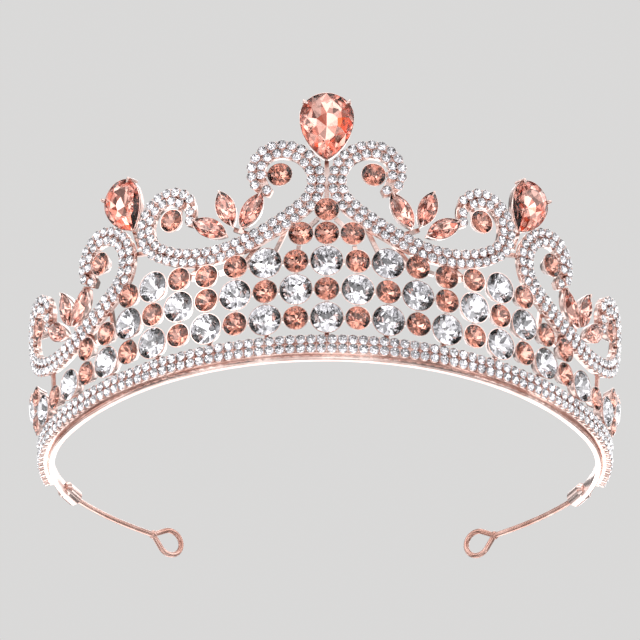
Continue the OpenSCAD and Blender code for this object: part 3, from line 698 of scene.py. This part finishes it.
def pear(name, hand, size, place_args):
    width, length = size
    place = at_wall(*place_args)
    gem = cut_gem(pear_outline(width - 2 * RIM, length - 3 * RIM), n=11, table=0.58, crown=1.5, girdle=0.3,
                  depth=SET_DEEP - CUP_BASE - SEAT_GAP, tiers=((0.74, 0.42), (0.42, 0.8)))
    stone = Shape()
    add_gem(stone, gem, place, (0.1, 0.8), (0.2, 1))
    tail = f"_{hand}" if hand else ""
    finished(stone.make(f"{name}_pear_gem{tail}", [CORAL, CORAL_FOIL], smooth=False), "peach_crystal",
             f"{name}_pear_stone{tail}")
    metal = Shape()
    outline = pear_outline(width, length)
    metal.add(*box_setting(outline, 96), place)
    for angle in (-55, 55):
        s, c = math.sin(math.radians(angle)), math.cos(math.radians(angle))
        r = width / 2
        claw(metal, place, (s * (r + 0.12), c * (r + 0.12), -SET_DEEP + 0.1),
             (s * (r - 1.1), c * (r - 1.1), 0.75), 0.46)
    finished(metal.make(f"{name}_pear_box{tail}", [ROSE]), "rose_gold", f"{name}_pear_setting{tail}")


FAN = [(122, (-2.1, 0.4)), (73, (0.1, 1.3)), (33, (1.4, -1))]


def navettes(kind, side, eye, tilt):
    width, length = NAVETTE
    gem = cut_gem(navette_outline(width - 2 * RIM, length - 5 * RIM), n=8, table=0.5, crown=1.0, girdle=0.3,
                  depth=SET_DEEP - CUP_BASE - SEAT_GAP, tiers=((0.6, 0.5),), star=0.78)
    box = box_setting(navette_outline(width, length), 64)
    stones, metal = Shape(), Shape()
    for turn, shift in FAN:
        flat = placed(eye, tilt, FAN_ROOT + turned(turn, (length / 2, 0)) + shift)
        spin = turn + tilt if side > 0 else 180 - turn - tilt
        place = at_wall(side * flat[0], flat[1], spin)
        add_gem(stones, gem, place, (0.3, 1), (0.4, 1))
        metal.add(*box, place)
        for end in (-1, 1):
            claw(metal, place, (end * (length / 2 - 0.35), 0, -1.2),
                 (end * (length / 2 - 1.7), 0, 0.35), 0.28)
    hand = "left" if side < 0 else "right"
    finished(stones.make(f"{kind}_navette_gems_{hand}", [CORAL, CORAL_FOIL], smooth=False), "peach_crystal",
             f"{kind}_navette_stones_{hand}")
    finished(metal.make(f"{kind}_navette_boxes_{hand}", [ROSE]), "rose_gold",
             f"{kind}_navette_settings_{hand}")


# ---- Headband ----
def headband():
    end = wall_angle(BAND_HALF, 0)
    shoulder = end - TONGUE_LONG / SIDE_RADIUS
    stations = [shoulder * (2 * i / BAND_STEPS - 1) for i in range(BAND_STEPS + 1)]
    slope = math.radians(0.4)

    def ring(a, low, high):
        edge = 0.32
        section = []
        for d, z, sd, sz in ((BAND_IN, low, 1, 1), (BAND_IN, high, 1, -1), (BAND_OUT, high, -1, -1),
                             (BAND_OUT, low, -1, 1)):
            section += [(d + sd * x, z + sz * y) for x, y in ((0, edge), (0.1, 0.1), (edge, 0))]
        centre = (BAND_IN + BAND_OUT) / 2, (low + high) / 2
        section.sort(key=lambda p: math.atan2(p[1] - centre[1], p[0] - centre[0]))
        return [wall_spot(a, up_wall(d, z), d) for d, z in section]
    rings = [ring(a, 0, BAND_HIGH) for a in stations]
    low, high = SLEEVE_HEIGHT - TONGUE_HIGH / 2, SLEEVE_HEIGHT + TONGUE_HIGH / 2
    for sign in (-1, 1):
        tongue = [ring(sign * a, low, high) for a in (shoulder + slope, end)]
        rings = tongue[::-1] + rings if sign < 0 else rings + tongue
    shape = Shape()
    shape.add(*tube(rings))
    finished(shape.make("headband_polished", [ROSE]), "rose_gold", "headband")


# ---- Build ----
headband()
foot_strip()
for side in (-1, 1):
    hand = "left" if side < 0 else "right"
    for kind, eye, tilt in (("front", FRONT_EYE, 0), ("side", SIDE_EYE, SIDE_TILT)):
        scroll(kind, side, eye, tilt)
        navettes(kind, side, eye, tilt)
    eye_places = [(side * p[0], p[1]) for p in eyes()]
    cups(f"eye_cup_metal_{hand}", f"eye_cups_{hand}", [("peach", eye_places)])
    set_stones(f"eye_gems_{hand}", f"eye_stones_{hand}", "peach", eye_places)
    tip = FRONT_EYE + LOWER_EYE + SIDE_PEAR_SHIFT
    spot = tip + turned(-PEAR_TILT, (0, SIDE_PEAR[1] - SIDE_PEAR[0] / 2))
    pear("side", hand, SIDE_PEAR, (side * spot[0], spot[1], -side * PEAR_TILT))
crest_height = FRONT_EYE[1] + CENTRE_PEAR_LIFT + CENTRE_PEAR[1] - CENTRE_PEAR[0] / 2
pear("centre", "", CENTRE_PEAR, (0, crest_height, 0))
for row in ("lower", "middle", "upper", "crest"):
    groups = [(kind, places) for (r, kind), places in LATTICE.items() if r == row]
    cups(f"{row}_cup_metal", f"{row}_cups", groups)
    for kind, places in groups:
        set_stones(f"{row}_{kind}_gems", f"{row}_{kind}_stones", kind, places)

for name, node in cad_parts.items():
    if not node.hide_render:
        node.data.materials.clear()
        node.data.materials.append(WIRE if name.startswith("arm") else ROSE)


# ---- Studio ----
def floor():
    """A pale disc that fades into the background; seen from below it isn't there."""
    material, tree, shader = new_material("pale_floor")
    tree.links.new(ramp(tree, noise(tree, 9, 3), (0.555, 0.553, 0.55), (0.565, 0.563, 0.56)),
                   shader.inputs["Base Color"])
    shader.inputs["Roughness"].default_value = 0.7
    coords = tree.nodes.new("ShaderNodeTexCoord").outputs["Object"]
    reach = tree.nodes.new("ShaderNodeVectorMath")
    reach.operation = "LENGTH"
    tree.links.new(coords, reach.inputs[0])
    edge = ranged(tree, reach.outputs["Value"], 0, 1, 0.35, 1.1)
    geometry = tree.nodes.new("ShaderNodeNewGeometry")
    hidden = tree.nodes.new("ShaderNodeMath")
    hidden.operation = "MAXIMUM"
    tree.links.new(edge, hidden.inputs[0])
    tree.links.new(geometry.outputs["Backfacing"], hidden.inputs[1])
    clear = tree.nodes.new("ShaderNodeBsdfTransparent")
    mix = tree.nodes.new("ShaderNodeMixShader")
    tree.links.new(hidden.outputs["Value"], mix.inputs["Fac"])
    tree.links.new(shader.outputs["BSDF"], mix.inputs[1])
    tree.links.new(clear.outputs["BSDF"], mix.inputs[2])
    tree.links.new(mix.outputs["Shader"], tree.nodes["Material Output"].inputs["Surface"])
    mesh = bpy.data.meshes.new("floor")
    radius, sides = 1.2, 96
    rim = [2 * math.pi * i / sides for i in range(sides)]
    mesh.from_pydata([(radius * math.cos(a), radius * math.sin(a), 0) for a in rim], [], [list(range(sides))])
    mesh.materials.append(material)
    plane = bpy.data.objects.new("floor", mesh)
    plane.location = (0, 0.05, cad_low.z - 0.0001)
    plane.visible_glossy = plane.visible_transmission = False
    bpy.context.scene.collection.objects.link(plane)


def sky():
    """A pale studio: softboxes and darker gaps for the stones and metal, a plain pale colour behind."""
    world = bpy.data.worlds.new("studio")
    bpy.context.scene.world = world
    world.use_nodes = True
    tree = world.node_tree
    tree.nodes.clear()
    out = tree.nodes.new("ShaderNodeOutputWorld")
    way = tree.nodes.new("ShaderNodeTexCoord").outputs["Generated"]
    cells = tree.nodes.new("ShaderNodeTexVoronoi")
    cells.inputs["Scale"].default_value = 4.2
    tree.links.new(way, cells.inputs["Vector"])
    panels = tree.nodes.new("ShaderNodeValToRGB")
    tree.links.new(cells.outputs["Color"], panels.inputs["Fac"])
    steps = ((0.0, 0.22), (0.36, 0.6), (0.46, 0.9), (0.54, 1.25), (0.64, 2.1))
    stops = panels.color_ramp.elements
    panels.color_ramp.interpolation = "CONSTANT"
    while len(stops) < len(steps):
        stops.new(0.5)
    for stop, (position, value) in zip(stops, steps):
        stop.position = position
        stop.color = (value, value, value, 1)
    total = panels.outputs["Color"]
    boxes = [((0, -0.3, 0.95), 0.86, 0.97, 0.6), ((-0.75, -0.6, 0.3), 0.95, 0.98, 2.0),
             ((0.8, -0.45, 0.4), 0.95, 0.98, 2.0), ((0.1, 0.8, 0.6), 0.92, 0.97, 1.5),
             ((0, 0.87, -0.49), 0.86, 0.96, 1.6)]
    for direction, start, full, power in boxes:
        dot = tree.nodes.new("ShaderNodeVectorMath")
        dot.operation = "DOT_PRODUCT"
        tree.links.new(way, dot.inputs[0])
        dot.inputs[1].default_value = Vector(direction).normalized()
        lit = tree.nodes.new("ShaderNodeMapRange")
        lit.interpolation_type = "SMOOTHSTEP"
        for key, value in (("From Min", start), ("From Max", full), ("To Min", 0), ("To Max", power)):
            lit.inputs[key].default_value = value
        tree.links.new(dot.outputs["Value"], lit.inputs["Value"])
        add = tree.nodes.new("ShaderNodeMath")
        add.operation = "ADD"
        tree.links.new(lit.outputs["Result"], add.inputs[0])
        tree.links.new(total, add.inputs[1])
        total = add.outputs["Value"]
    studio = tree.nodes.new("ShaderNodeBackground")
    studio.inputs["Color"].default_value = (1.0, 0.985, 0.99, 1)
    tree.links.new(total, studio.inputs["Strength"])
    plain = tree.nodes.new("ShaderNodeBackground")
    plain.inputs["Color"].default_value = (0.70, 0.695, 0.69, 1)
    path = tree.nodes.new("ShaderNodeLightPath")
    mix = tree.nodes.new("ShaderNodeMixShader")
    tree.links.new(path.outputs["Is Camera Ray"], mix.inputs["Fac"])
    tree.links.new(studio.outputs["Background"], mix.inputs[1])
    tree.links.new(plain.outputs["Background"], mix.inputs[2])
    tree.links.new(mix.outputs["Shader"], out.inputs["Surface"])


def camera():
    """In front of the tiara and below it, looking up at the wall."""
    elevation, yaw, distance = math.radians(29.42), math.radians(0.42), 0.7666
    target = Vector((0, HUB_Y / 1000, 0.030))
    ahead = Vector((math.sin(yaw) * math.cos(elevation), math.cos(yaw) * math.cos(elevation),
                    math.sin(elevation)))
    right = ahead.cross(Vector((0, 0, 1))).normalized()
    up = right.cross(ahead)
    # Focal length, and how far the target lies below and right of the middle of the view, in frame widths
    focal, below, aside = 4.34672, 0.13656, 0.00688
    look = (ahead + up * (below / focal) - right * (aside / focal)).normalized()
    sensor = 36
    data = bpy.data.cameras.new("camera")
    data.sensor_width, data.lens = sensor, sensor * focal
    data.clip_start, data.clip_end = 0.01, 50
    cam = bpy.data.objects.new("camera", data)
    cam.location = target - ahead * distance
    cam.rotation_mode = "QUATERNION"
    cam.rotation_quaternion = look.to_track_quat("-Z", "Y")
    bpy.context.scene.collection.objects.link(cam)
    bpy.context.scene.camera = cam


floor()
sky()
camera()
bpy.context.scene.view_settings.view_transform = "Standard"
